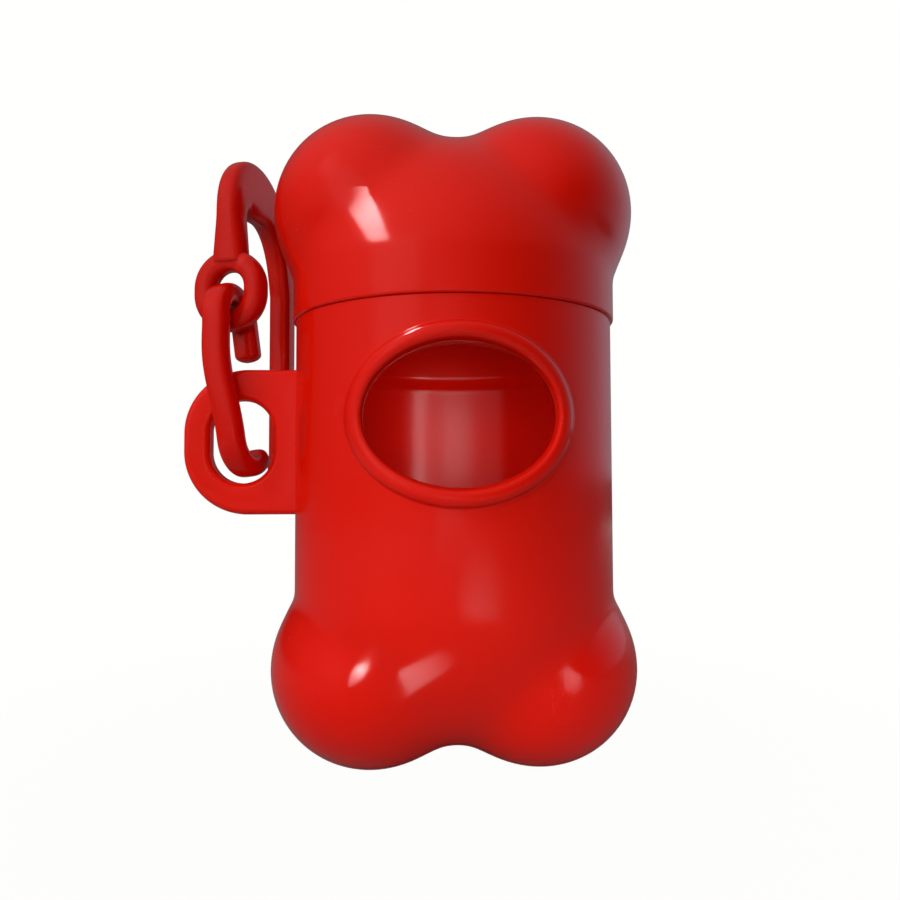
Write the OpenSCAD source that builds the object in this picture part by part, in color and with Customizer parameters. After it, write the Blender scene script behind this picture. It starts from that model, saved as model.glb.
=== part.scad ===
/* [Bone] */
// Height of the whole bone, standing on its lower lobes
bone_h = 85; // [75:1:100]
// Outer diameter of the round tube
tube_d = 42.2; // [38:0.2:48]
// Wall of the tube and of both bone ends
wall = 1.6; // [1.2:0.1:2]
// Height of each domed bone end
end_h = 23.1; // [21:0.1:26]
// Height of the dome between a bone end's two lobes
dome_h = 20; // [17:0.1:20.5]
// Distance from the tube axis to the centre of a lobe
lobe_x = 10.6; // [9.5:0.1:12]
// Half width of a lobe, left to right
lobe_w = 13.5; // [12:0.1:14.5]
// Half depth of a lobe, front to back
lobe_d = 17; // [14:0.5:19]
// Half height of a lobe
lobe_h = 12.8; // [11.5:0.1:14]
// How softly the lobes run into the dome
lobe_blend = 0.8; // [0.6:0.1:1.6]
// Depth of the small flats that the bone stands on
foot_flat = 0.3; // [0.2:0.05:0.6]

/* [Cap] */
// How far the cap's skirt stands out from the tube
skirt_step = 0.4; // [0.2:0.1:0.8]
// Length of the cap's straight skirt
skirt_h = 4.4; // [3:0.1:6]
// Gap at the seam between the skirt and the tube's shoulder
seam_gap = 0.1; // [0.05:0.05:0.3]
// Room between the neck and the skirt, on the radius
neck_gap = 0.3; // [0.2:0.05:0.5]
// Wall of the neck
neck_wall = 1.3; // [1:0.1:1.6]
// How far the neck's thick collar goes down inside the tube
collar_h = 6.5; // [4:0.5:8]
// Room left between the grip bead on the neck and the skirt
bead_gap = 0.08; // [0.05:0.01:0.1]

/* [Window] */
// Width of the opening, straight across
window_w = 22; // [18:0.5:24]
// Height of the opening
window_h = 16.2; // [13:0.1:18]
// Height of the window's centre above the base
window_z = 44.2; // [40:0.1:46]
// Width of the rounded rim round the window
rim_w = 2.3; // [1.8:0.1:3]
// How far the rim stands out from the tube
rim_out = 0.95; // [0.6:0.05:1.4]

/* [Ear] */
// How far the ear reaches from the tube axis
ear_reach = 36; // [34:0.5:40]
// Height of the ear
ear_h = 19.4; // [17:0.2:22]
// Height of the ear's middle above the base
ear_z = 41.9; // [38:0.1:44]
// Thickness of the ear
ear_t = 3; // [2.4:0.1:3.2]
// Radius of the ear's two outer corners
ear_corner = 8.5; // [6:0.5:9]
// Width of the hole in the ear
ear_hole_w = 8.3; // [7.6:0.1:9]
// Height of the hole in the ear
ear_hole_h = 11.1; // [10:0.1:12]
// Distance from the tube axis to the middle of the hole
ear_hole_x = 28.35; // [28:0.05:29]
// Bevel along the ear's edges
ear_bevel = 0.7; // [0.4:0.1:1]

/* [Split link] */
// Length of the link, end to end
link_h = 25.6; // [24:0.2:30]
// Width of the link's band
link_w = 3.2; // [2.8:0.1:3.4]
// Thickness of the link's band
link_t = 2.8; // [2.4:0.1:3]
// Clear width inside the link
link_inside = 4.6; // [4.4:0.1:5.4]
// Gap between the link's two ends
link_split = 3; // [2:0.5:4]
// How far the lower end is sprung sideways
link_spring = 1.8; // [0:0.1:2.4]
// How far the link leans outwards at rest, in degrees
link_lean = 7.5; // [4:0.5:12]
// Distance from the tube axis to the link's lower bar
link_x = 27.7; // [27.2:0.1:28.6]
// Height of the link's lower bar above the base
link_z = 39.4; // [39:0.1:41]

/* [Hook] */
// Outer width of the hook's eye
eye_w = 10.4; // [9.8:0.1:11.4]
// Outer height of the hook's eye
eye_h = 11.2; // [10.6:0.1:12.6]
// Thickness of the eye's round bar
eye_bar = 3; // [2.6:0.1:3.2]
// Width of the hook where it leaves the eye
shank_w = 4.8; // [4:0.1:5.2]
// Width of the hook's back leg
leg_w = 3.4; // [2.8:0.1:4]
// Thickness of the hook's back leg
leg_t = 3.4; // [2.8:0.1:4]
// Thickness of the hook at the top of its bend
bend_t = 6; // [5:0.1:7]
// Clear depth between the shank and the back leg
hook_mouth = 12; // [10:0.5:16]
// Height of the hook's top above the middle of its eye
hook_rise = 19.4; // [17:0.2:22]
// Length of the back leg below the middle of the eye
hook_drop = 23; // [16:0.5:26]
// How far the hook and the link are turned from straight back, in degrees
chain_turn = 16; // [12:1:18]

/* [Hidden] */

$fn = 96;

tube_r = tube_d / 2;
bore_r = tube_r - wall;
cap_r = tube_r + skirt_step;
cap_base_z = bone_h - end_h;
seam_z = cap_base_z - skirt_h;
low_z = end_h - foot_flat;
lobe_z = end_h - lobe_h;

skirt_bore_r = bore_r;
neck_r = skirt_bore_r - neck_gap;
neck_bore_r = neck_r - neck_wall;
neck_top_z = cap_base_z - 0.3;
bead_r = skirt_bore_r - bead_gap;
bead_z = seam_z + skirt_h / 2;
edge = 0.3;

// The frame's origin is under the middle of the whole object, so the tube's axis is off it.
axis_x = (ear_reach - lobe_x - lobe_w) / 2;
axis_y = (rim_out - skirt_step) / 2;

// The bone's end is measured from the middle of its open base, along rays.
rays_round = 48;
rays_up = 14;
base_turn = 8;
search_steps = 16;
base_proud = 0.04;

// Signed distance, about, from p to an ellipsoid with its middle at c and half sizes s
function to_ellipsoid(p, c, s) =
    (norm([(p.x - c.x) / s.x, (p.y - c.y) / s.y, (p.z - c.z) / s.z]) - 1) * min(s.x, s.z);

// Distance from p to the bone's end: two lobes and a dome, run together by soft minimum
function to_end(p, r) =
    let (
        lobe = [lobe_w, lobe_d, lobe_h],
        right = to_ellipsoid(p, [lobe_x, 0, lobe_z], lobe),
        left = to_ellipsoid(p, [-lobe_x, 0, lobe_z], lobe),
        dome = to_ellipsoid(p, [0, 0, 0], [r, r, dome_h])
    )
    -lobe_blend * ln(exp(-right / lobe_blend) + exp(-left / lobe_blend) + exp(-dome / lobe_blend));

// Length of the ray u at which to_end() reaches the given depth, by halving
function ray_length(u, r, depth, low, high, steps) =
    let (mid = (low + high) / 2)
    steps == 0 ? mid
    : to_end(u * mid, r) < -depth ? ray_length(u, r, depth, mid, high, steps - 1)
    : ray_length(u, r, depth, low, mid, steps - 1);

function smooth(t) = let (c = max(0, min(1, t))) c * c * (3 - 2 * c);

// At its base the end is a little proud of the round wall that it joins, flats and all.
function base_size(r) = r / cos(180 / rays_round) + base_proud;

// One point of the end's surface; base_r is its radius at the base
function end_point(i, j, r, base_r, depth) =
    let (
        turn = 360 * i / rays_round,
        rise = 90 * pow(j / rays_up, 1.05),
        u = [cos(turn) * cos(rise), sin(turn) * cos(rise), sin(rise)],
        far = ray_length(u, r, depth, 5, 40, search_steps),
        mix = smooth(rise / base_turn),
        near = mix < 1 ? base_r / cos(rise) : far
    )
    u * (near + (far - near) * mix);

function end_rows(r, base_r, depth) =
    [for (j = [0 : rays_up - 1]) for (i = [0 : rays_round - 1]) end_point(i, j, r, base_r, depth)];

function end_top(r, depth) = [[0, 0, ray_length([0, 0, 1], r, depth, 5, 40, search_steps)]];

// Hollow bone end, open side down on z = 0
module end_shell(r, inner_r) {
    n = rays_round;
    rows = rays_up;
    skin = n * rows + 1;
    points = concat(
        end_rows(r, base_size(r), 0), end_top(r, 0),
        end_rows(r, base_size(inner_r), wall), end_top(r, wall));
    faces = concat(
        [for (j = [0 : rows - 2]) for (i = [0 : n - 1]) let (k = (i + 1) % n)
            each [[j * n + i, (j + 1) * n + i, (j + 1) * n + k], [j * n + i, (j + 1) * n + k, j * n + k]]],
        [for (i = [0 : n - 1]) [(rows - 1) * n + i, n * rows, (rows - 1) * n + (i + 1) % n]],
        [for (j = [0 : rows - 2]) for (i = [0 : n - 1]) let (k = (i + 1) % n, s = skin)
            each [[s + j * n + i, s + (j + 1) * n + k, s + (j + 1) * n + i],
                  [s + j * n + i, s + j * n + k, s + (j + 1) * n + k]]],
        [for (i = [0 : n - 1]) [skin + (rows - 1) * n + i, skin + (rows - 1) * n + (i + 1) % n, skin + n * rows]],
        [for (i = [0 : n - 1]) let (k = (i + 1) % n)
            each [[i, k, skin + k], [i, skin + k, skin + i]]]);
    polyhedron(points, faces);
}

// Closed or open tube through rings of points; every ring has the same number of points
module skin_rings(rings, closed) {
    n = len(rings[0]);
    m = len(rings);
    last = closed ? m - 1 : m - 2;
    points = [for (ring = rings) for (p = ring) p];
    sides = [for (j = [0 : last]) for (i = [0 : n - 1])
        let (k = (i + 1) % n, q = (j + 1) % m)
        each [[j * n + i, j * n + k, q * n + k], [j * n + i, q * n + k, q * n + i]]];
    ends = closed ? [] : [
        [for (i = [n - 1 : -1 : 0]) i],
        [for (i = [0 : n - 1]) (m - 1) * n + i]];
    polyhedron(points, concat(sides, ends));
}

// Window: an ellipse cut straight through the front of the tube
window_steps = 72;
rim_inside = 0.35;
rim_layers = 4;

module window_ellipse(grow) {
    w = window_w / 2 + grow;
    h = window_h / 2 + grow;
    polygon([for (i = [0 : window_steps - 1]) let (t = 360 * i / window_steps) [w * cos(t), h * sin(t)]]);
}

module window_prism(grow) {
    translate([0, 0, window_z])
        rotate([90, 0, 0])
            translate([0, 0, tube_r / 2])
                linear_extrude(tube_r)
                    window_ellipse(grow);
}

// The rim is a band of wall round the window, built up in layers that round it off.
module window_rim() {
    difference() {
        union()
            for (layer = [1 : rim_layers])
                let (
                    rise = rim_out * sin(90 * layer / rim_layers),
                    inset = rim_w / 2 * (1 - cos(90 * (layer - 1) / rim_layers))
                )
                intersection() {
                    difference() {
                        window_prism(rim_w - inset);
                        window_prism(inset);
                    }
                    cylinder(h = bone_h, r = tube_r + rise);
                }
        cylinder(h = bone_h, r = bore_r - rim_inside);
    }
}

// Tube, shoulder, neck with its grip bead, and the collar inside
module tube_wall() {
    collar_z = seam_z - collar_h;
    slope = bore_r - neck_bore_r;
    difference() {
        rotate_extrude()
            polygon([
                [bore_r, low_z],
                [tube_r, low_z],
                [tube_r, seam_z - edge],
                [tube_r - edge, seam_z],
                [neck_r, seam_z],
                [neck_r, neck_top_z - edge],
                [neck_r - edge, neck_top_z],
                [neck_bore_r, neck_top_z],
                [neck_bore_r, collar_z + slope],
                [bore_r, collar_z]
            ]);
        window_prism(rim_w / 2);
    }
    rotate_extrude()
        polygon([
            [neck_r - 0.4, bead_z - 0.8],
            [neck_r, bead_z - 0.8],
            [bead_r, bead_z - 0.2],
            [bead_r, bead_z + 0.2],
            [neck_r, bead_z + 0.8],
            [neck_r - 0.4, bead_z + 0.8]
        ]);
}

module ear_outline(inset) {
    top = ear_h / 2 - inset;
    corner = ear_corner - inset;
    root_x = -(tube_r - wall / 2);
    translate([root_x - 1, -top])
        square([1, 2 * top]);
    for (side = [-1, 1])
        translate([-ear_reach + ear_corner, side * (ear_h / 2 - ear_corner)])
            circle(corner, $fn = 40);
}

module ear() {
    hole_r = ear_hole_w / 2;
    hole_half = ear_hole_h / 2 - hole_r;
    translate([0, 0, ear_z])
        rotate([90, 0, 0])
            difference() {
                hull() {
                    linear_extrude(ear_t - 2 * ear_bevel, center = true)
                        ear_outline(0);
                    linear_extrude(ear_t, center = true)
                        ear_outline(ear_bevel);
                }
                for (side = [-1, 1])
                    translate([-ear_hole_x, side * hole_half, 0])
                        cylinder(h = 2 * ear_t, r = hole_r, center = true);
                translate([-ear_hole_x, 0, 0])
                    cube([2 * hole_r, 2 * hole_half, 2 * ear_t], center = true);
            }
}

module body_shell() {
    color([0.78, 0.04, 0.02])
        translate([axis_x, axis_y, 0])
        difference() {
            union() {
                tube_wall();
                translate([0, 0, low_z])
                    mirror([0, 0, 1])
                        end_shell(tube_r, bore_r);
                window_rim();
                ear();
            }
            translate([0, 0, -5])
                cube([4 * tube_d, 4 * tube_d, 10], center = true);
        }
}

module cap_shell() {
    color([0.78, 0.04, 0.02]) translate([axis_x, axis_y, 0]) {
        rotate_extrude()
            polygon([
                [skirt_bore_r, cap_base_z],
                [skirt_bore_r, seam_z + seam_gap + edge],
                [skirt_bore_r + edge, seam_z + seam_gap],
                [cap_r - edge, seam_z + seam_gap],
                [cap_r, seam_z + seam_gap + edge],
                [cap_r, cap_base_z]
            ]);
        translate([0, 0, cap_base_z])
            end_shell(cap_r, skirt_bore_r);
    }
}

// Bands are swept along a path in a plane: u to the back, v up, w across the plane.
band_sides = 12;

// Rounded oblong section, w across by t thick, square to the path's direction
function band_ring(at, heading, w, t, across) =
    let (normal = [-heading.y, heading.x])
    [for (i = [0 : band_sides - 1])
        let (
            a = 360 * (i + 0.5) / band_sides,
            c = cos(a),
            s = sin(a),
            px = w / 2 * sign(c) * pow(abs(c), 0.62),
            py = t / 2 * sign(s) * pow(abs(s), 0.62)
        )
        [across + px, at.x + normal.x * py, at.y + normal.y * py]];

// Split link: two straight arms joined by half rounds, open at the back
link_r = (link_inside + link_t) / 2;
link_arm = link_h - link_t - 2 * link_r;
arch_steps = 10;
arm_steps = 6;
split_at = 0.72;
split_low = link_arm * split_at - link_split;

function link_path() = concat(
    [for (i = [0 : arm_steps]) let (f = i / arm_steps)
        [[link_r, link_arm * split_at + link_arm * (1 - split_at) * f], [0, 1], 0]],
    [for (i = [1 : arch_steps - 1]) let (a = 180 * i / arch_steps)
        [[link_r * cos(a), link_arm + link_r * sin(a)], [-sin(a), cos(a)], 0]],
    [for (i = [0 : arm_steps]) let (f = i / arm_steps)
        [[-link_r, link_arm * (1 - f)], [0, -1], 0]],
    [for (i = [1 : arch_steps - 1]) let (a = 180 + 180 * i / arch_steps)
        [[link_r * cos(a), link_r * sin(a)], [-sin(a), cos(a)], 0]],
    [for (i = [0 : arm_steps]) let (f = i / arm_steps)
        [[link_r, split_low * f], [0, 1], link_spring * smooth(f * 1.2)]]);

// The link's path starts at its lower bar, which turns in the ear's hole.
module split_link() {
    path = link_path();
    count = len(path);
    tip = link_t * 0.22;
    rings = [for (i = [0 : count - 1])
        let (s = path[i]) band_ring(s[0] + [0, link_r], s[1], link_w, link_t, s[2])];
    first = path[0];
    last = path[count - 1];
    start_cap = band_ring(first[0] + [0, link_r - tip], first[1], link_w * 0.6, link_t * 0.6, first[2]);
    end_cap = band_ring(last[0] + [0, link_r + tip], last[1], link_w * 0.6, link_t * 0.6, last[2]);
    color([0.78, 0.04, 0.02])
        translate([axis_x - link_x, axis_y, link_z])
            rotate([0, -link_lean, 0])
                rotate([0, 0, -chain_turn])
                    skin_rings(concat([start_cap], rings, [end_cap]), false);
}

// The eye hangs on the link's upper arch: its lower bar's middle is the arch's centre.
arch_centre = link_r + link_arm;
hook_x = -link_x - arch_centre * sin(link_lean);
hook_z = link_z + arch_centre * cos(link_lean);
eye_r = (eye_w - eye_bar) / 2;
eye_straight = eye_h - eye_w;
eye_mid = eye_r + eye_straight / 2;

module eye() {
    for (end = [0, 1])
        translate([0, 0, eye_mid])
            mirror([0, 0, end])
                translate([0, 0, eye_straight / 2])
                    rotate([90, 0, 0])
                        rotate_extrude(angle = 180)
                            translate([eye_r, 0])
                                circle(d = eye_bar, $fn = 32);
    for (side = [-1, 1])
        translate([side * eye_r, 0, eye_mid])
            cylinder(h = eye_straight + 0.01, d = eye_bar, center = true, $fn = 32);
}

// Quadratic curve between two points, drawn towards a third
function bend_point(a, b, c, t) = a * (1 - t) * (1 - t) + b * 2 * t * (1 - t) + c * t * t;
function bend_heading(a, b, c, t) = let (d = (b - a) * (1 - t) + (c - b) * t) d / norm(d);

module hook_band() {
    shank_t = eye_bar + 0.4;
    back = shank_t / 2 + hook_mouth + leg_t / 2;
    root = [0, eye_mid + eye_r];
    top_v = eye_mid + hook_rise - bend_t / 2;
    top_u = back * 0.34;
    crown = [top_u, top_v];
    shoulder = [0, root.y + (top_v - root.y) * 0.55];
    knee = [back, eye_mid + hook_rise * 0.12];
    tip = [back, eye_mid - hook_drop];
    lip = [back - leg_t * 0.45, tip.y];
    rise_steps = 4;
    bend_steps = 9;
    leg_steps = 6;
    corner_a = [0, top_v];
    corner_b = [back * 0.86, top_v];
    stations = concat(
        [for (i = [0 : rise_steps - 1]) let (f = i / rise_steps)
            [root + (shoulder - root) * f, [0, 1], shank_w + (leg_w - shank_w) * f, shank_t + 0.6 * f]],
        [for (i = [0 : bend_steps - 1]) let (f = i / bend_steps)
            [bend_point(shoulder, corner_a, crown, f), bend_heading(shoulder, corner_a, crown, f),
                leg_w, shank_t + 0.6 + (bend_t - shank_t - 0.6) * smooth(f)]],
        [for (i = [0 : bend_steps - 1]) let (f = i / bend_steps)
            [bend_point(crown, corner_b, knee, f), bend_heading(crown, corner_b, knee, f),
                leg_w, bend_t + (leg_t - bend_t) * smooth(f * 1.2)]],
        [for (i = [0 : leg_steps]) let (f = i / leg_steps)
            [knee + (tip - knee) * f, [0, -1], leg_w, leg_t]],
        [[lip - [0, 1.6], [-0.35, -0.94], leg_w, leg_t * 1.15]],
        [[lip - [0.5, 2.7], [-0.35, -0.94], leg_w * 0.66, leg_t * 0.7]]);
    rings = [for (s = stations) band_ring(s[0], s[1], s[2], s[3], 0)];
    skin_rings(rings, false);
}

module hook() {
    color([0.78, 0.04, 0.02])
        translate([axis_x + hook_x, axis_y, hook_z])
            rotate([0, 0, -chain_turn]) {
                eye();
                hook_band();
            }
}

body_shell();
cap_shell();
split_link();
hook();
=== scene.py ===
import math

import bmesh
import bpy
import numpy as np
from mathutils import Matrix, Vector


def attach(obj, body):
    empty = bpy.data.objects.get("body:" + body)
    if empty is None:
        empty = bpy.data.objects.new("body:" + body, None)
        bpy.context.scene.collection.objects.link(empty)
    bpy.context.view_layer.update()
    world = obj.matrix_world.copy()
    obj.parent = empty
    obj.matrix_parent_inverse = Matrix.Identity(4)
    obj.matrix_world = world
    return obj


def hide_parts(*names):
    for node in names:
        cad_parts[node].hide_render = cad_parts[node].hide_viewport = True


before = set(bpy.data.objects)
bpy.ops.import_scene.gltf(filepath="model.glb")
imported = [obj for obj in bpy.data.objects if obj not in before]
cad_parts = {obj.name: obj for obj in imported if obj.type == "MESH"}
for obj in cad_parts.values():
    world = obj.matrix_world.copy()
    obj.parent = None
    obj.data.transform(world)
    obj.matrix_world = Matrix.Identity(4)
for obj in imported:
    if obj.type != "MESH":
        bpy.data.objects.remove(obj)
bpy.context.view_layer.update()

print("frame loaded:", ", ".join(sorted(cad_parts)))

mm = 0.001
axisX, axisY = 5.95, 0.275  # where the tube's axis stands in the frame, in mm


# meshes from grids of points

def gridFaces(rows, cols, ring=False):
    # quads between the rows of a grid whose columns go right round; ring joins the last row to the first
    r, c = np.meshgrid(np.arange(rows if ring else rows - 1), np.arange(cols), indexing="ij")
    r2, c2 = (r + 1) % rows, (c + 1) % cols
    return np.stack([r * cols + c, r * cols + c2, r2 * cols + c2, r2 * cols + c], -1).reshape(-1, 4)


def makePiece(name, grids, body, node):
    # grids are pairs of points in mm and quads; shared edges and poles are welded into one skin
    counts = [points.reshape(-1, 3).shape[0] for points, quads in grids]
    starts = np.cumsum([0] + counts[:-1])
    points = np.concatenate([points.reshape(-1, 3) for points, quads in grids])
    quads = np.concatenate([quads + start for (points_, quads), start in zip(grids, starts)])
    points = (points + [axisX, axisY, 0]) * mm
    mesh = bpy.data.meshes.new(name)
    mesh.vertices.add(len(points))
    mesh.vertices.foreach_set("co", points.astype(np.float32).ravel())
    mesh.loops.add(quads.size)
    mesh.loops.foreach_set("vertex_index", quads.astype(np.int32).ravel())
    mesh.polygons.add(len(quads))
    mesh.polygons.foreach_set("loop_start", np.arange(0, quads.size, 4, dtype=np.int32))
    mesh.update(calc_edges=True)
    work = bmesh.new()
    work.from_mesh(mesh)
    bmesh.ops.remove_doubles(work, verts=work.verts, dist=0.004 * mm)
    bmesh.ops.recalc_face_normals(work, faces=work.faces)
    work.to_mesh(mesh)
    work.free()
    mesh.polygons.foreach_set("use_smooth", np.ones(len(mesh.polygons), dtype=bool))
    piece = bpy.data.objects.new(name, mesh)
    bpy.context.scene.collection.objects.link(piece)
    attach(piece, body)
    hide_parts(node)
    return piece


def smoothStep(t):
    # 0 to 1 with level ends: three t squared less two t cubed
    t = np.clip(t, 0, 1)
    return t * t * (3 - 2 * t)


# the bone's hollow ends

bone = dict(
    height=85, tubeRadius=21.1, wall=1.6, endHeight=23.1, domeHeight=20,
    lobeX=10.6, lobeHalf=(13.5, 17, 12.8), blend=0.8, flat=0.3,
    baseTurn=8, around=256, endRows=64,
)
lowZ = bone["endHeight"] - bone["flat"]
capBaseZ = bone["height"] - bone["endHeight"]
turns = np.arange(bone["around"]) * 2 * np.pi / bone["around"]


def toEllipsoid(points, centre, half):
    # about the distance outside an ellipsoid: length in its own units, less one, times its smaller half size
    scaled = (points - np.array(centre)) / np.array(half)
    return (np.linalg.norm(scaled, axis=-1) - 1) * min(half[0], half[2])


def toEnd(points, radius):
    # two lobes and a dome joined by a soft minimum: minus blend times the log of the summed exponentials
    lobeZ = bone["endHeight"] - bone["lobeHalf"][2]
    parts = [toEllipsoid(points, (side * bone["lobeX"], 0, lobeZ), bone["lobeHalf"]) for side in (1, -1)]
    parts.append(toEllipsoid(points, (0, 0, 0), (radius, radius, bone["domeHeight"])))
    return -bone["blend"] * np.log(sum(np.exp(-part / bone["blend"]) for part in parts))


def endSkin(radius, baseRadius, depth):
    # rays leave the middle of the open base; each is halved until it reaches the given depth in the end
    rise = np.radians(90 * (np.arange(bone["endRows"] + 1) / bone["endRows"]) ** 1.05)[:, None]
    turn = turns[None, :]
    rays = np.stack([np.sin(turn) * np.cos(rise), -np.cos(turn) * np.cos(rise),
                     np.sin(rise) * np.ones_like(turn)], -1)
    low, high = np.full(rays.shape[:2], 5.0), np.full(rays.shape[:2], 40.0)
    for step in range(34):
        mid = (low + high) / 2
        inside = toEnd(rays * mid[..., None], radius) < -depth
        low, high = np.where(inside, mid, low), np.where(inside, high, mid)
    mix = smoothStep(np.degrees(rise) / bone["baseTurn"])
    near = np.where(mix < 1, baseRadius / np.maximum(np.cos(rise), 0.1), low)
    return rays * (near + (low - near) * mix)[..., None]


def ringRows(profile):
    # rings round the tube's axis, one for each pair of radius and height
    profile = np.array(profile, float)
    radius, height = profile[:, :1], profile[:, 1:]
    return np.stack([radius * np.sin(turns), -radius * np.cos(turns), height + 0 * turns], -1)


def roundedEdge(corner, start, end, steps=5):
    # quarter bend from one point to another, drawn towards the corner between them
    t = np.linspace(0, 1, steps)[:, None]
    corner, start, end = map(np.array, (corner, start, end))
    return (start * (1 - t) ** 2 + corner * 2 * t * (1 - t) + end * t ** 2).tolist()


# body: lower end, tube with its window, neck and collar

body = dict(
    seamZ=57.5, seamEdge=0.12, neckRadius=19.2, neckBore=17.9, neckTop=61.6, neckRound=0.3, mouthRound=0.2,
    rootStep=0.25, rootRise=0.2, collarZ=51, beadRadius=19.42, beadRise=2.2, beadHalf=0.8,
    windowZ=44.2, windowHalf=(11, 8.1), rimWidth=2.3, rimOut=0.95, rimIn=0.35, rimSoft=0.1, rimPower=2.4,
    rimApron=0.9, holeColumns=35, holeRows=36, holeHalf=12.1,
)
boreRadius = bone["tubeRadius"] - bone["wall"]


def innerRadius(z):
    # the bore, narrowing one for one above the collar's edge until it is the neck's bore
    slope = boreRadius - body["neckBore"]
    return boreRadius - np.clip(z - body["collarZ"], 0, slope)


def tubeRows():
    # heights of the rows beside the window, with one at each edge of the collar
    z0, z1 = body["windowZ"] - body["holeHalf"], body["windowZ"] + body["holeHalf"]
    window = np.linspace(z0, z1, body["holeRows"] + 1)
    for edgeZ in (body["collarZ"], body["collarZ"] + boreRadius - body["neckBore"]):
        window[np.abs(window - edgeZ).argmin()] = edgeZ
    return window


def bodyGrid():
    # one skin from the lower end's tip up the outside, over the neck and down the inside, open at the window
    r, seam, neck, top, bore = (bone["tubeRadius"], body["seamZ"], body["neckRadius"],
                                body["neckTop"], body["neckBore"])
    edge, half, soft, lip = body["seamEdge"], body["beadHalf"], body["neckRound"], body["mouthRound"]
    window = tubeRows()
    outerEnd = endSkin(r, r, 0)[::-1] * [1, 1, -1] + [0, 0, lowZ]
    outerEnd[..., 2] = np.maximum(outerEnd[..., 2], 0)  # the small flats that the bone stands on
    innerEnd = endSkin(r, boreRadius, bone["wall"]) * [1, 1, -1] + [0, 0, lowZ]
    below = np.linspace(lowZ, window[0], 12)[1:-1]
    above = np.linspace(window[-1], seam - 0.14, 4)[1:]
    outer = [(r, z) for z in (*below, *window, *above)]
    outer += roundedEdge((r, seam), (r, seam - edge), (r - edge, seam))
    beadZ = seam + body["beadRise"]
    bead = [(neck + (body["beadRadius"] - neck) * smoothStep(1 - abs(s) / half), beadZ + s)
            for s in np.linspace(-half, half, 13)]
    outer += [(neck + body["rootStep"], seam), (neck, seam + body["rootRise"]), (neck, seam + 1.2), *bead,
              (neck, top - 0.8)]
    outer += roundedEdge((neck, top), (neck, top - soft), (neck - soft, top))
    outer += roundedEdge((bore, top), (bore + lip, top), (bore, top - lip))
    inner = [(float(innerRadius(z)), z) for z in (*np.linspace(top - 0.6, window[-1] + 0.8, 4), *window[::-1],
                                                 *below[::-1])]
    rows = np.concatenate([outerEnd, ringRows(outer), ringRows(inner), innerEnd])
    quads = gridFaces(len(rows), bone["around"]).reshape(len(rows) - 1, bone["around"], 4)
    keep = np.ones(quads.shape[:2], bool)
    columns = np.arange(-body["holeColumns"], body["holeColumns"]) % bone["around"]
    outerStart = len(outerEnd) + len(below)
    innerStart = len(outerEnd) + len(outer) + 4
    for start in (outerStart, innerStart):
        keep[np.ix_(range(start, start + body["holeRows"]), columns)] = False
    return rows, quads[keep]


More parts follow.
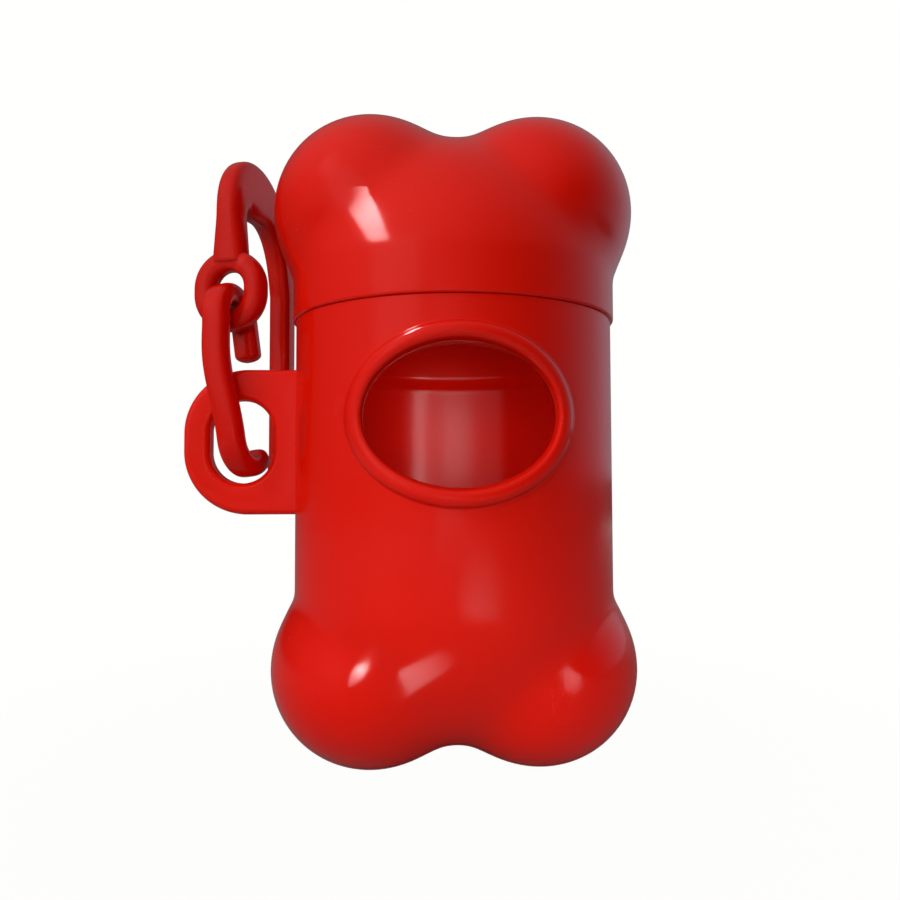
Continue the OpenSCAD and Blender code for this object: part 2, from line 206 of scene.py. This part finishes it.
def windowPatch():
    # rings of points from the tube's skin over the window's rounded rim to the wall inside
    window, count = tubeRows(), body["holeColumns"]
    side = np.arange(-count, count + 1) * 2 * np.pi / bone["around"]
    boxTurn = np.concatenate([side[:-1], np.full(len(window) - 1, side[-1]), side[:0:-1],
                              np.full(len(window) - 1, side[0])])
    boxZ = np.concatenate([np.full(len(side) - 1, window[0]), window[:-1], np.full(len(side) - 1, window[-1]),
                           window[:0:-1]])
    t = np.arctan2((boxZ - body["windowZ"]) / body["holeHalf"], boxTurn / side[-1])
    halfW, halfH = body["windowHalf"]
    middle, soft, power = body["rimWidth"] / 2, body["rimSoft"], body["rimPower"]
    rimMid = (bone["tubeRadius"] + body["rimOut"] + boreRadius - body["rimIn"]) / 2
    rimHalf = bone["tubeRadius"] + body["rimOut"] - rimMid

    def ring(reach, depth):
        # one ring: the window's ellipse grown by reach, laid on the cylinder of the given radius
        x = (halfW + reach) * np.cos(t)
        z = body["windowZ"] + (halfH + reach) * np.sin(t)
        radius = depth(z) if callable(depth) else np.full(len(t), float(depth))
        return np.arcsin(x / radius), z, radius

    def bead(reach):
        # height of the rim's rounded section at a reach from the opening
        across = min(abs(reach - middle) / middle, 1)
        return (1 - across ** power) ** (1 / power) * rimHalf - max(reach - 2 * middle, 0) * 3

    def softMax(a, b):
        # soft times the log of the summed exponentials of a and b over soft
        return soft * np.logaddexp(a / soft, b / soft)

    rings = []
    farReach = body["rimWidth"] + body["rimApron"]
    outerR = bone["tubeRadius"]
    edgeTurn, edgeZ, edgeR = ring(farReach, outerR)
    for s in np.linspace(0, 1, 9)[:-1]:
        rings.append((boxTurn + (edgeTurn - boxTurn) * s, boxZ + (edgeZ - boxZ) * s, edgeR))
    for reach in middle + (farReach - middle) * np.sin(np.linspace(np.pi / 2, 0, 22)):
        rings.append(ring(reach, softMax(outerR, rimMid + bead(reach))))
    for a in np.linspace(np.pi / 2, np.pi, 10)[1:]:
        reach = middle + middle * np.cos(a) * abs(np.cos(a)) ** -0.17 if a > 1.6 else middle
        rings.append(ring(reach, rimMid + bead(reach)))

    def lowered(reach):
        # radius of the rim's inner side, joined softly to the bore at each height
        return lambda z: -softMax(-innerRadius(z), -(rimMid - bead(reach) * (rimMid - np.minimum(
            innerRadius(z), boreRadius - body["rimIn"])) / rimHalf))

    for a in np.linspace(np.pi, np.pi * 1.5, 10)[1:]:
        reach = middle - middle * abs(np.cos(a)) ** 0.83
        rings.append(ring(reach, lowered(reach)))
    for reach in middle + (farReach - 0.5 - middle) * (1 - np.cos(np.linspace(0, np.pi / 2, 10)[1:])):
        rings.append(ring(reach, lowered(reach)))
    edgeTurn, edgeZ, edgeR = rings[-1]
    for s in np.linspace(0, 1, 7)[1:]:
        z = edgeZ + (boxZ - edgeZ) * s
        rings.append((edgeTurn + (boxTurn - edgeTurn) * s, z, edgeR + (innerRadius(z) - edgeR) * min(2 * s, 1)))
    turn, z, radius = (np.array([r[k] for r in rings]) for k in range(3))
    points = np.stack([radius * np.sin(turn), -radius * np.cos(turn), z], -1)
    return points, gridFaces(len(rings), len(t))


ear = dict(reach=36, height=19.4, z=41.9, thick=3, corner=8.5, holeW=8.3, holeH=11.1, holeX=28.35,
           rootX=20.4, edge=0.85, around=220, cornerSteps=9)


def earGrid():
    # a rounded oblong section carried round the hole, from the hole's edge to the plate's edge
    a = np.arange(ear["around"]) * 2 * np.pi / ear["around"]
    ray = np.stack([np.cos(a), np.sin(a)], -1)
    holeR = ear["holeW"] / 2

    def toHole(p):
        return np.hypot(p[:, 0], np.maximum(np.abs(p[:, 1]) - (ear["holeH"] / 2 - holeR), 0)) - holeR

    def toPlate(p):
        x, z = p[:, 0] - ear["holeX"], np.abs(p[:, 1])
        cornerX = -ear["reach"] + ear["corner"]
        straight = np.maximum(z - ear["height"] / 2, x + ear["rootX"])
        turned = np.hypot(x - cornerX, np.maximum(z - (ear["height"] / 2 - ear["corner"]), 0)) - ear["corner"]
        return np.where(x > cornerX, straight, turned)

    def reachOf(field):
        # how far each ray goes before the field turns positive, by halving
        low, high = np.zeros(len(a)), np.full(len(a), 20.0)
        for step in range(30):
            mid = (low + high) / 2
            inside = field(ray * mid[:, None]) < 0
            low, high = np.where(inside, mid, low), np.where(inside, high, mid)
        return low

    inner, outer = reachOf(toHole), reachOf(toPlate)
    middle, half = (inner + outer) / 2, (outer - inner) / 2
    rings = []
    edge = ear["edge"]
    for quarter, (sideR, sideY) in enumerate([(1, 1), (-1, 1), (-1, -1), (1, -1)]):
        for b in np.radians(90 * quarter + np.linspace(0, 90, ear["cornerSteps"])):
            reach = middle + sideR * (half - edge) + edge * np.cos(b)
            y = sideY * (ear["thick"] / 2 - edge) + edge * np.sin(b)
            x, z = ray[:, 0] * reach - ear["holeX"], ray[:, 1] * reach + ear["z"]
            rings.append(np.stack([x, np.full(len(a), y), z], -1))
    return np.array(rings), gridFaces(len(rings), len(a), ring=True)


bodyShell = makePiece("bodyShell", [bodyGrid(), windowPatch()], "dispenser", "body_shell")
sideEar = makePiece("sideEar", [earGrid()], "dispenser", "body_shell")
print("body built")

# cap

cap = dict(step=0.4, gap=0.02, soft=0.32, lip=0.3)


def capGrid():
    # one skin from the upper end's tip down to the skirt's edge and up again inside
    r = bone["tubeRadius"] + cap["step"]
    bottom = body["seamZ"] + cap["gap"]
    outerEnd = endSkin(r, r, 0)[::-1] + [0, 0, capBaseZ]
    innerEnd = endSkin(r, boreRadius, bone["wall"]) + [0, 0, capBaseZ]
    skirt = [(r, z) for z in np.linspace(capBaseZ - 0.6, bottom + 0.4, 5)]
    skirt += roundedEdge((r, bottom), (r, bottom + cap["soft"]), (r - cap["soft"], bottom))
    skirt += roundedEdge((boreRadius, bottom), (boreRadius + cap["lip"], bottom), (boreRadius, bottom + cap["lip"]))
    skirt += [(boreRadius, z) for z in np.linspace(bottom + 0.6, capBaseZ - 0.3, 4)]
    rows = np.concatenate([outerEnd, ringRows(skirt), innerEnd])
    return rows, gridFaces(len(rows), bone["around"])


capShell = makePiece("capShell", [capGrid()], "cap", "cap_shell")
print("cap built")

# split link and hook: bands carried along a path in an upright plane

chainTurn = math.radians(16)


def bandRings(path, sides, power=0.62):
    # path rows are u to the back, v up, heading u, heading v, width, thickness, shift across
    path = np.array(path, float)
    a = (np.arange(sides) + 0.5) * 2 * np.pi / sides
    px = np.sign(np.cos(a)) * np.abs(np.cos(a)) ** power / 2
    py = np.sign(np.sin(a)) * np.abs(np.sin(a)) ** power / 2
    u, v, hu, hv, width, thick, shift = (path[:, k:k + 1] for k in range(7))
    return np.stack([shift + width * px, u - hv * thick * py, v + hu * thick * py], -1)


def turned(points, angle, axis):
    # points turned by an angle about one axis through the origin
    c, s = math.cos(angle), math.sin(angle)
    turn = {"z": [[c, -s, 0], [s, c, 0], [0, 0, 1]], "y": [[c, 0, s], [0, 1, 0], [-s, 0, c]]}[axis]
    return points @ np.array(turn).T


def closedBand(rings):
    # both ends drawn to a point at the end ring's middle
    first, last = rings[:1].mean(1, keepdims=True), rings[-1:].mean(1, keepdims=True)
    ends = [np.repeat(end, rings.shape[1], 1) for end in (first, last)]
    rows = np.concatenate([ends[0], rings, ends[1]])
    return rows, gridFaces(len(rows), rows.shape[1])


link = dict(height=25.6, width=3.4, thick=2.8, inside=4.6, lean=7.5, x=27.7, z=39.4,
            splitAt=0.72, tip=1.05, curl=44, lower=0.8, bow=0.7, sides=40)
linkR = (link["inside"] + link["thick"]) / 2
linkArm = link["height"] - link["thick"] - 2 * linkR


def linkGrid():
    # from the stub behind over the top, down the slightly bowed front and round below to the short curl behind
    low = -link["lower"]
    rows = [(linkR, v, 0, 1, 0) for v in np.linspace(linkArm * link["splitAt"], linkArm, 10)]
    rows += [(linkR * np.cos(b), linkArm + linkR * np.sin(b), -np.sin(b), np.cos(b), 0)
             for b in np.linspace(0, np.pi, 44)[1:-1]]
    rows += [(-linkR, linkArm + (low - linkArm) * f, 0, -1, -link["bow"] * math.sin(math.pi * f ** 0.7) ** 2)
             for f in np.linspace(0, 1, 30)]
    rows += [(linkR * np.cos(b), low + linkR * np.sin(b), -np.sin(b), np.cos(b), 0)
             for b in np.radians(np.linspace(180, 270 + link["curl"], 44))[1:]]
    rounding = np.sin(np.linspace(0.1, 1.5, 8))  # half oval ends: size is the root of one less reach squared
    first, last, tip = rows[0], rows[-1], link["tip"]
    sized = [(first[0], first[1] - tip * f, *first[2:], math.sqrt(1 - f * f)) for f in rounding[::-1]]
    sized += [(*row, 1) for row in rows]
    sized += [(last[0] + last[2] * tip * f, last[1] + last[3] * tip * f, *last[2:], math.sqrt(1 - f * f))
              for f in rounding]
    path = [(u, v + linkR, hu, hv, link["width"] * size, link["thick"] * size, across)
            for u, v, hu, hv, across, size in sized]
    points, quads = closedBand(bandRings(path, link["sides"]))
    points = turned(turned(points, -chainTurn, "z"), -math.radians(link["lean"]), "y")
    return points + [-link["x"], 0, link["z"]], quads


splitLink = makePiece("splitLink", [linkGrid()], "link", "split_link")
print("link built")

hook = dict(
    eyeW=10.4, eyeH=11.2, eyeBar=3, shankW=4.8, shankExtra=0.4, legW=3.4, legT=3.4, bendT=8.1, mouth=12,
    rise=19.4, drop=23, tipReach=2.7, sides=40,
    shoulderAt=0.55, crownAt=0.34, archAt=0.86, kneeAt=0.12,  # shares of the height and of the mouth
)
archCentre = linkR + linkArm
hookX = -link["x"] - archCentre * math.sin(math.radians(link["lean"]))
hookZ = link["z"] + archCentre * math.cos(math.radians(link["lean"]))


def placedHook(points):
    # turned like the link and hung in its upper bend
    return turned(points, -chainTurn, "z") + [hookX, 0, hookZ]


def eyeGrid():
    # a rounded bar carried round an upright oblong loop
    eyeR = (hook["eyeW"] - hook["eyeBar"]) / 2
    straight = (hook["eyeH"] - hook["eyeW"]) / 2
    mid = eyeR + straight
    a = np.arange(120) * 2 * np.pi / 120
    b = (np.arange(32) + 0.5) * 2 * np.pi / 32
    reach = eyeR + hook["eyeBar"] / 2 * np.sign(np.cos(b)) * np.abs(np.cos(b)) ** 0.8
    y = hook["eyeBar"] / 2 * np.sign(np.sin(b)) * np.abs(np.sin(b)) ** 0.8
    x = reach[None, :] * np.cos(a)[:, None]
    z = reach[None, :] * np.sin(a)[:, None] + (straight * np.sign(np.round(np.sin(a), 6)))[:, None] + mid
    return placedHook(np.stack([x, np.broadcast_to(y, x.shape), z], -1)), gridFaces(120, 32, ring=True)


def hookGrid():
    # from the eye up the shank, over a bend drawn through two curves, and down the back leg to a rounded tip
    bar, legW, legT, bendT = hook["eyeBar"], hook["legW"], hook["legT"], hook["bendT"]
    eyeR = (hook["eyeW"] - bar) / 2
    mid = eyeR + (hook["eyeH"] - hook["eyeW"]) / 2
    shankT = bar + hook["shankExtra"]
    back = shankT / 2 + hook["mouth"] + legT / 2
    root, topV = np.array([0, mid + eyeR]), mid + hook["rise"] - bendT / 2
    crown = np.array([back * hook["crownAt"], topV])
    shoulder = np.array([0, root[1] + (topV - root[1]) * hook["shoulderAt"]])
    knee, tip = np.array([back, mid + hook["rise"] * hook["kneeAt"]]), np.array([back, mid - hook["drop"]])

    def curve(a, b, c, t):
        # a curve from a to c drawn towards b, and its heading
        d = (b - a) * (1 - t) + (c - b) * t
        return (*(a * (1 - t) ** 2 + b * 2 * t * (1 - t) + c * t ** 2), *(d / np.linalg.norm(d)))

    rows = []
    shoulderT = shankT + 0.6
    for f in np.linspace(0, 1, 14)[:-1]:
        rows.append((*(root + (shoulder - root) * f), 0, 1, hook["shankW"] + (legW - hook["shankW"]) * f,
                     shankT + 0.6 * f, 0))
    for f in np.linspace(0, 1, 24)[:-1]:
        rows.append((*curve(shoulder, np.array([0, topV]), crown, f), legW,
                     shoulderT + (bendT - shoulderT) * float(smoothStep(f)), 0))
    for f in np.linspace(0, 1, 32)[:-1]:
        rows.append((*curve(crown, np.array([back * hook["archAt"], topV]), knee, f), legW,
                     bendT + (legT - bendT) * float(smoothStep(f * 1.2)), 0))
    for f in np.linspace(0, 1, 20):
        rows.append((*(knee + (tip - knee) * f), 0, -1, legW, legT, 0))
    for f in np.linspace(0, 1, 8)[1:]:
        size = math.sqrt(1 - (0.93 * f) ** 2)
        rows.append((back - legT * 0.45 * f, tip[1] - hook["tipReach"] * f, -0.35 * f, -1 + 0.06 * f,
                     legW * size, legT * 1.1 * size, 0))
    points, quads = closedBand(bandRings(rows, hook["sides"]))
    return placedHook(points), quads


hookPiece = makePiece("hook", [eyeGrid(), hookGrid()], "clip", "hook")
print("hook built")


# shader maths as Python expressions

class Wire:
    def __init__(self, tree, socket=None):
        self.tree, self.socket = tree, socket

    def node(self, kind, settings=(), sockets=(), out=0):
        made = self.tree.nodes.new(kind)
        for key, value in dict(settings).items():
            if key == "stops":
                ramp = made.color_ramp.elements
                for k, (place, level) in enumerate(value):
                    stop = ramp[k] if k < 2 else ramp.new(place)
                    stop.position, stop.color = place, (level, level, level, 1)
            else:
                setattr(made, key, value)
        for key, value in dict(sockets).items():
            if isinstance(value, Wire):
                self.tree.links.new(value.socket, made.inputs[key])
            else:
                made.inputs[key].default_value = value
        return Wire(self.tree, made.outputs[out] if len(made.outputs) else None)

    def math(self, operation, a, b=0.0):
        return self.node("ShaderNodeMath", {"operation": operation}, {0: a, 1: b})

    def __add__(self, other):
        return self.math("ADD", self, other)

    __radd__ = __add__

    def __sub__(self, other):
        return self.math("SUBTRACT", self, other)

    def __rsub__(self, other):
        return self.math("SUBTRACT", other, self)

    def __mul__(self, other):
        return self.math("MULTIPLY", self, other)

    __rmul__ = __mul__

    def clamped(self):
        return self.node("ShaderNodeClamp", sockets={0: self})


plastic = dict(
    deep=(0.74, 0.004, 0.0003, 1), lit=(0.80, 0.009, 0.001, 1), worn=(0.80, 0.018, 0.006, 1),
    rough=0.13, ior=1.42, glow=0.12, glowReach=(0.0016, 0.00025, 0.00015),
)


def mouldedPlastic(name, seed, paintedShade):
    # glossy red plastic with a faint clouding, a fine skin, hair scratches and paler worn edges; its reds can be
    # darkened by a factor that is painted shade
    made = bpy.data.materials.new(name)
    made.use_nodes = True
    tree = made.node_tree
    tree.nodes.clear()
    start = Wire(tree)
    place = start.node("ShaderNodeTexCoord", out=3)

    def noise(scale, detail, stretch=(1, 1, 1), turn=(0, 0, 0)):
        moved = start.node("ShaderNodeMapping", sockets={
            "Vector": place, "Location": (seed * 0.37, seed * 0.11, seed * 0.23), "Rotation": turn, "Scale": stretch})
        return start.node("ShaderNodeTexNoise", sockets={"Vector": moved, "Scale": scale, "Detail": detail})

    # the deep and pale reds darkened by the painted shade factor
    def tinted(colour):
        return (*(level * paintedShade for level in colour[:3]), 1)

    flow = noise(45, 2, (1, 1, 0.35))              # slow clouding left by the melt
    grain = noise(2600, 2)                         # fine skin of the mould
    ripple = noise(160, 2)                         # slight unevenness that bends the highlights
    hair = sum((1 - start.math("ABSOLUTE", noise(900, 1, stretch, turn) - 0.5) * 90).clamped()
               for stretch, turn in (((1, 1, 0.05), (0.3, 0.2, 0)), ((0.05, 1, 1), (0.1, 0.6, 0.9)),
                                     ((1, 0.06, 1), (0.5, 0.1, 0.4))))
    scratch = (hair * (noise(120, 1) * 3.2 - 1.75).clamped()).clamped()
    edge = start.node("ShaderNodeNewGeometry", out=7)  # how sharply the surface turns, for worn edges
    wear = ((edge - 0.53) * 7).clamped()
    tone = start.node("ShaderNodeMix", {"data_type": "RGBA"}, {
        0: (flow * 1.6 - 0.3).clamped(), 6: tinted(plastic["deep"]), 7: tinted(plastic["lit"])}, out=2)
    colour = start.node("ShaderNodeMix", {"data_type": "RGBA"}, {
        0: (wear * 0.35 + scratch * 0.12).clamped(), 6: tone, 7: plastic["worn"]}, out=2)
    bump = start.node("ShaderNodeBump", sockets={
        "Strength": 0.22, "Distance": 0.0002,
        "Height": ripple * 0.6 + grain * 0.05 - scratch * 0.12})
    shader = start.node("ShaderNodeBsdfPrincipled", {"subsurface_method": "RANDOM_WALK"}, {
        "Base Color": colour, "Roughness": plastic["rough"] + flow * 0.06 + scratch * 0.2 + wear * 0.08,
        "IOR": plastic["ior"], "Subsurface Weight": plastic["glow"], "Subsurface Scale": 1.0,
        "Subsurface Radius": plastic["glowReach"], "Normal": bump})
    start.node("ShaderNodeOutputMaterial", sockets={"Surface": shader})
    return made


paintedShadeTones = ((bodyShell, 1), (capShell, 1), (splitLink, 0.84), (hookPiece, 0.76))  # the link's and hook's reds are darkened as painted shade; the bone and cap keep their own red
for seed, (piece, paintedShade) in enumerate(paintedShadeTones):
    name = "redPlastic" + piece.name[0].upper() + piece.name[1:]
    piece.data.materials.append(mouldedPlastic(name, seed + 1, paintedShade))
sideEar.data.materials.append(bodyShell.data.materials[0])
for node, piece in zip(("body_shell", "cap_shell", "split_link", "hook"), (bodyShell, capShell, splitLink, hookPiece)):
    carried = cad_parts[node]
    carried.data.materials.clear()
    carried.data.materials.append(piece.data.materials[0])
print("materials made")

# floor, backdrop, light and camera

studio = dict(
    floorHalf=3,  # metres from the middle to the floor's edge
    paper=(1, 1, 0.985, 1),  # the background as the camera sees it
    floorGrey=(0.3, 0.3, 0.3, 1), floorShade=0.02, shadeFrom=0.03, shadeTo=0.09,
    above=0.20, dim=0.006,
    lobes=[  # broad soft lights: azimuth, elevation, level, how narrow, tint
        dict(azimuth=-46, elevation=22, level=0.34, narrow=5, tint=(1, 1, 1)),
        dict(azimuth=122, elevation=6, level=0.58, narrow=8, tint=(0.8, 0.85, 1)),
    ],
)


def plainPlane(name, corners):
    # one flat quad that belongs to the stage
    mesh = bpy.data.meshes.new(name)
    mesh.from_pydata([Vector(corner) for corner in corners], [], [(0, 1, 2, 3)])
    plane = bpy.data.objects.new(name, mesh)
    bpy.context.scene.collection.objects.link(plane)
    return plane


def paleFloor():
    # white to the camera, with some of the plain surface under it near the object, so that the shadow shows
    made = bpy.data.materials.new("paleFloor")
    made.use_nodes = True
    tree = made.node_tree
    tree.nodes.clear()
    start = Wire(tree)
    seen = start.node("ShaderNodeLightPath", out=0)
    place = start.node("ShaderNodeTexCoord", out=3)
    away = start.node("ShaderNodeVectorMath", {"operation": "LENGTH"}, {0: place}, out=1)
    far = ((away - studio["shadeFrom"]) * (1 / (studio["shadeTo"] - studio["shadeFrom"]))).clamped()
    glow = start.node("ShaderNodeEmission", sockets={"Color": studio["paper"], "Strength": 1.0})
    plain = start.node("ShaderNodeBsdfDiffuse", sockets={"Color": studio["floorGrey"]})
    share = seen * (1 - (1 - far) * studio["floorShade"])
    surface = start.node("ShaderNodeMixShader", sockets={0: share, 1: plain, 2: glow})
    start.node("ShaderNodeOutputMaterial", sockets={"Surface": surface})
    return made


floor = plainPlane("floor", [(side * studio["floorHalf"], end * studio["floorHalf"], 0)
                             for side, end in ((-1, -1), (1, -1), (1, 1), (-1, 1))])
floor.data.materials.append(paleFloor())


def softSky():
    # paper white to the camera; to the object, a soft light from above and two broad lights at its sides
    world = bpy.data.worlds.new("studio")
    bpy.context.scene.world = world
    world.use_nodes = True
    world.node_tree.nodes.clear()
    air = Wire(world.node_tree)
    toward = air.node("ShaderNodeTexCoord", out=0)
    height = air.node("ShaderNodeSeparateXYZ", sockets={0: toward}, out=2)
    rise = ((height - 0.3) * 1.6).clamped()
    light = air.node("ShaderNodeCombineColor", sockets={k: rise * studio["above"] + studio["dim"] for k in range(3)})
    for lobe in studio["lobes"]:
        turn, lift = math.radians(lobe["azimuth"]), math.radians(lobe["elevation"])
        axis = (math.sin(turn) * math.cos(lift), -math.cos(turn) * math.cos(lift), math.sin(lift))
        facing = air.node("ShaderNodeVectorMath", {"operation": "DOT_PRODUCT"}, {0: toward, 1: axis}, out=1)
        strength = air.math("POWER", facing * 0.5 + 0.5, float(lobe["narrow"])) * lobe["level"]
        share = air.node("ShaderNodeCombineColor", sockets={k: strength * lobe["tint"][k] for k in range(3)})
        light = air.node("ShaderNodeVectorMath", {"operation": "ADD"}, {0: light, 1: share})
    seen, through = (air.node("ShaderNodeLightPath", out=k) for k in (0, 6))
    colour = air.node("ShaderNodeMix", {"data_type": "RGBA"}, {
        0: (seen + through).clamped(), 6: light, 7: studio["paper"]}, out=2)
    sky = air.node("ShaderNodeBackground", sockets={"Color": colour, "Strength": 1.0})
    air.node("ShaderNodeOutputWorld", sockets={"Surface": sky})


softSky()

# lights in mm from the tube's axis: what each faces, its size, watts, and whether the plastic mirrors it, is
# lit by it, or both
lamps = [
    dict(name="keyCard", at=(-329, -172, 340), toward=(-10, -18, 67), size=(130, 170), power=0.48, on="lit"),
    dict(name="keyLamp", at=(-300, -350, 200), toward=(0, 0, 42), size=(260, 260), power=0.76, on="lit"),
    dict(name="frontLamp", at=(-30, -480, 60), toward=(0, 0, 42), size=(160, 160), power=0.52, on="lit"),
    dict(name="backLamp", at=(330, 330, 130), toward=(0, 0, 42), size=(240, 240), power=0.5, on="lit"),
    dict(name="lowFill", at=(40, -130, 4), toward=(10, 0, 6), size=(60, 6), power=0.0026, spread=42, on="lit"),
    dict(name="glintTear", at=(-15.2, -21.2, 69.8), toward=(-12.5, -19.1, 50.1), size=(10.6, 4.6), power=0.00175,
         turn=114, spread=124, on="mirrored"),
    dict(name="glintLeft", at=(-14.7, -21.5, 14.1), toward=(-1.2, -7.8, 19.8), size=(1.9, 2.1), power=0.000013,
         turn=12, spread=37, on="mirrored"),
    dict(name="glintMiddle", at=(-4.1, -25.7, 10.6), toward=(4.8, -16.9, 26.2), size=(14, 4.3), power=0.000073,
         turn=8, spread=57, on="mirrored"),
    dict(name="glintRight", at=(17.8, -22.8, 12.7), toward=(9.7, -5.1, 8), size=(3.8, 4.8), power=0.000063,
         turn=165, spread=70, on="mirrored"),
    dict(name="windowGlint", at=(7.4, -4, 44), toward=(7.4, 16, 44), size=(3.2, 21), power=0.0008, on="mirrored"),
    dict(name="windowGlow", at=(0.9, -4, 44), toward=(0.9, 16, 44), size=(9.8, 21), power=0.0006, on="mirrored"),
    dict(name="windowFade", at=(-8.5, -4, 44), toward=(-8.5, 16, 44), size=(9, 21), power=0.00028, on="mirrored"),
    dict(name="windowWarm", at=(-1, -4, 44), toward=(-2, 19, 44), size=(6, 14), power=0.00015, spread=60, on="lit"),
    dict(name="windowFill", at=(1, -12, 46), toward=(1, 16, 46), size=(14, 12), power=0.0014, on="lit"),
]
for lamp in lamps:
    light = bpy.data.lights.new(lamp["name"], "AREA")
    light.shape, light.energy = "RECTANGLE", lamp["power"]
    light.size, light.size_y = (side * mm for side in lamp["size"])
    holder = bpy.data.objects.new(lamp["name"], light)
    fromMm = Vector((axisX, axisY, 0))
    holder.location = (fromMm + Vector(lamp["at"])) * mm
    holder.rotation_euler = (Vector(lamp["at"]) - Vector(lamp["toward"])).to_track_quat("Z", "Y").to_euler()
    holder.rotation_euler.rotate_axis("Z", math.radians(lamp.get("turn", 0)))
    light.spread = math.radians(lamp.get("spread", 180))
    holder.visible_camera = False
    holder.visible_glossy = lamp["on"] != "lit"
    holder.visible_diffuse = lamp["on"] != "mirrored"
    bpy.context.scene.collection.objects.link(holder)

# the camera: distance and height looked at in mm, angles in degrees, focal length and centre in picture points
view = dict(distance=104, azimuth=-2.46, pitch=2.5, roll=-0.17, lookZ=42.5, focal=762, centre=(453.5, 437.5),
            frame=900, sensor=36)
azimuth, pitch = math.radians(view["azimuth"]), math.radians(view["pitch"])
back = Vector((math.sin(azimuth) * math.cos(pitch), -math.cos(azimuth) * math.cos(pitch), -math.sin(pitch)))
target = Vector((axisX, axisY, view["lookZ"])) * mm
lens = bpy.data.cameras.new("camera")
lens.sensor_width = view["sensor"]
lens.lens = view["focal"] / view["frame"] * view["sensor"]
lens.shift_x = (view["frame"] / 2 - view["centre"][0]) / view["frame"]
lens.shift_y = (view["centre"][1] - view["frame"] / 2) / view["frame"]
lens.clip_start, lens.clip_end = 0.005, 50
camera = bpy.data.objects.new("camera", lens)
camera.location = target + back * view["distance"] * mm
camera.rotation_euler = (-back).to_track_quat("-Z", "Y").to_euler()
camera.rotation_euler.rotate_axis("Z", math.radians(view["roll"]))
bpy.context.scene.collection.objects.link(camera)
bpy.context.scene.camera = camera
bpy.context.scene.view_settings.view_transform = "Standard"
print("studio set")

bpy.context.view_layer.update()
